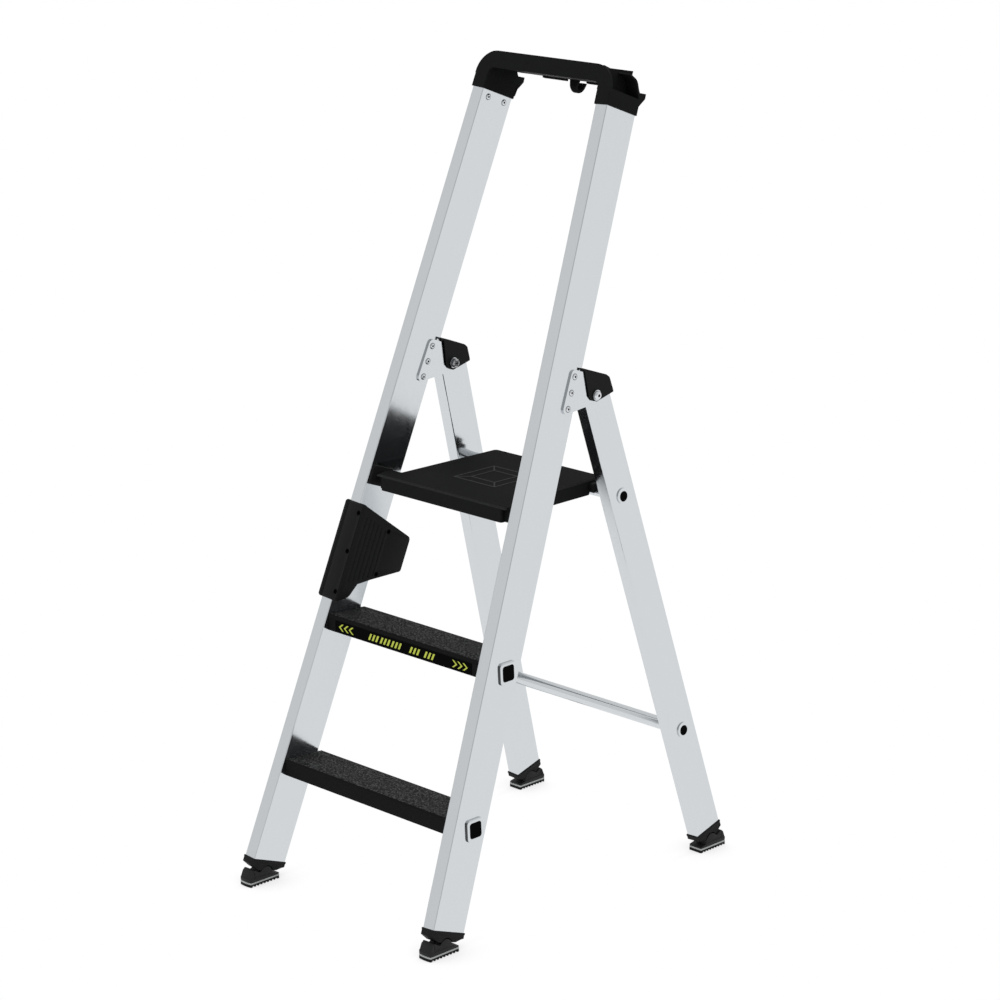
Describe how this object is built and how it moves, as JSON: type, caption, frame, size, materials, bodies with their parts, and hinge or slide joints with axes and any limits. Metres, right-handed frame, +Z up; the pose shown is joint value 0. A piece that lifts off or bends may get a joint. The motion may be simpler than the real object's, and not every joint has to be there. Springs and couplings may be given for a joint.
{
  "type": "folding platform step ladder",
  "caption": "Folding step ladder: tapering front frame with step rungs, a hinged rear frame, a swing-down standing platform, a carrying bow with a tool tray, and swivelling shoe feet.",
  "frame": {"origin": "centre of the ladder's footprint, on the floor, with the ladder open", "axes": "+Z up, -Y toward the climbing side with the steps, +X to the climber's right"},
  "size_m": [0.4714, 0.726, 1.3887],
  "materials": {
    "bare_aluminium": "fine satin mill finish",
    "bright_steel": "bright zinc plate",
    "pressed_plate": "plain pressed sheet",
    "black_plastic": "fine moulded texture",
    "black_grip": "gritty moulded tread",
    "pad_screws": "black oxide",
    "marking": "printed film",
    "bushes": "self-lubricating plastic",
    "foot_plastic": "fine moulded texture",
    "sole_grey": "light grey rubber",
    "tread_rubber": "moulded black rubber",
    "knuckle": "moulded nylon"
  },
  "bodies": {
    "front_frame": {"front_stile_left": "bare_aluminium", "front_stile_right": "bare_aluminium", "lower_step": "bare_aluminium", "upper_step": "bare_aluminium", "lower_step_cover": "black_grip", "upper_step_cover": "black_grip", "step_end_plugs": "black_plastic", "marking_strip": "marking", "handle_bow": "black_plastic", "tool_tray": "black_plastic", "bucket_hook": "black_plastic", "handle_rivets": "bright_steel", "hinge_plate_left_outer": "pressed_plate", "hinge_plate_left_inner": "pressed_plate", "hinge_plate_right_outer": "pressed_plate", "hinge_plate_right_inner": "pressed_plate", "hinge_rivets": "bright_steel", "pivot_bolts": "bright_steel", "pivot_washers": "bright_steel", "pivot_nuts": "bright_steel", "platform_bracket_left": "black_plastic", "platform_bracket_right": "black_plastic", "platform_pins": "bright_steel", "carry_pad": "black_plastic", "carry_pad_screws": "pad_screws", "foot_cap_front_left": "black_plastic", "foot_cap_front_right": "black_plastic", "front_foot_pins": "bright_steel"},
    "rear_frame": {"rear_leg_left": "bare_aluminium", "rear_leg_right": "bare_aluminium", "lower_cross_tube": "bare_aluminium", "upper_cross_tube": "bare_aluminium", "cross_tube_plugs": "black_plastic", "pivot_bushes": "bushes", "leg_head_cap_left": "black_plastic", "leg_head_cap_right": "black_plastic", "foot_cap_rear_left": "black_plastic", "foot_cap_rear_right": "black_plastic", "rear_foot_pins": "bright_steel"},
    "platform": {"platform_deck": "black_plastic", "platform_bushes": "bushes", "platform_catches": "black_plastic"},
    "foot_knuckle_front_left": {"foot_knuckle_front_left": "knuckle"},
    "foot_front_left": {"foot_shoe_front_left": "foot_plastic", "foot_sole_front_left": "sole_grey", "foot_tread_front_left": "tread_rubber"},
    "foot_knuckle_front_right": {"foot_knuckle_front_right": "knuckle"},
    "foot_front_right": {"foot_shoe_front_right": "foot_plastic", "foot_sole_front_right": "sole_grey", "foot_tread_front_right": "tread_rubber"},
    "foot_knuckle_rear_left": {"foot_knuckle_rear_left": "knuckle"},
    "foot_rear_left": {"foot_shoe_rear_left": "foot_plastic", "foot_sole_rear_left": "sole_grey", "foot_tread_rear_left": "tread_rubber"},
    "foot_knuckle_rear_right": {"foot_knuckle_rear_right": "knuckle"},
    "foot_rear_right": {"foot_shoe_rear_right": "foot_plastic", "foot_sole_rear_right": "sole_grey", "foot_tread_rear_right": "tread_rubber"}
  },
  "joints": [
    {"name": "rear_frame_fold", "type": "hinge", "parent": "front_frame", "child": "rear_frame", "pos_m": [0, 0.0696, 0.85845], "axis": [-1, 0, 0], "range_deg": [0, 36.5]},
    {"name": "platform_fold", "type": "hinge", "parent": "front_frame", "child": "platform", "pos_m": [0, -0.08136, 0.67965], "axis": [1, 0, 0], "range_deg": [0, 69]},
    {"name": "pitch_front_left", "type": "hinge", "parent": "front_frame", "child": "foot_knuckle_front_left", "pos_m": [-0.22035, -0.326, 0.016], "axis": [1, 0, 0], "range_deg": [-5, 5]},
    {"name": "roll_front_left", "type": "hinge", "parent": "foot_knuckle_front_left", "child": "foot_front_left", "pos_m": [-0.22035, -0.326, 0.016], "axis": [0, 1, 0], "range_deg": [-4, 4]},
    {"name": "pitch_front_right", "type": "hinge", "parent": "front_frame", "child": "foot_knuckle_front_right", "pos_m": [0.22035, -0.326, 0.016], "axis": [1, 0, 0], "range_deg": [-5, 5]},
    {"name": "roll_front_right", "type": "hinge", "parent": "foot_knuckle_front_right", "child": "foot_front_right", "pos_m": [0.22035, -0.326, 0.016], "axis": [0, 1, 0], "range_deg": [-4, 4]},
    {"name": "pitch_rear_left", "type": "hinge", "parent": "rear_frame", "child": "foot_knuckle_rear_left", "pos_m": [-0.22154, 0.326, 0.016], "axis": [1, 0, 0], "range_deg": [-8, 4]},
    {"name": "roll_rear_left", "type": "hinge", "parent": "foot_knuckle_rear_left", "child": "foot_rear_left", "pos_m": [-0.22154, 0.326, 0.016], "axis": [0, 1, 0], "range_deg": [-4, 4]},
    {"name": "pitch_rear_right", "type": "hinge", "parent": "rear_frame", "child": "foot_knuckle_rear_right", "pos_m": [0.22154, 0.326, 0.016], "axis": [1, 0, 0], "range_deg": [-8, 4]},
    {"name": "roll_rear_right", "type": "hinge", "parent": "foot_knuckle_rear_right", "child": "foot_rear_right", "pos_m": [0.22154, 0.326, 0.016], "axis": [0, 1, 0], "range_deg": [-4, 4]}
  ],
  "couplings": [
    {"joint": "platform_fold", "follows": "rear_frame_fold", "ratio": 1.88}
  ]
}
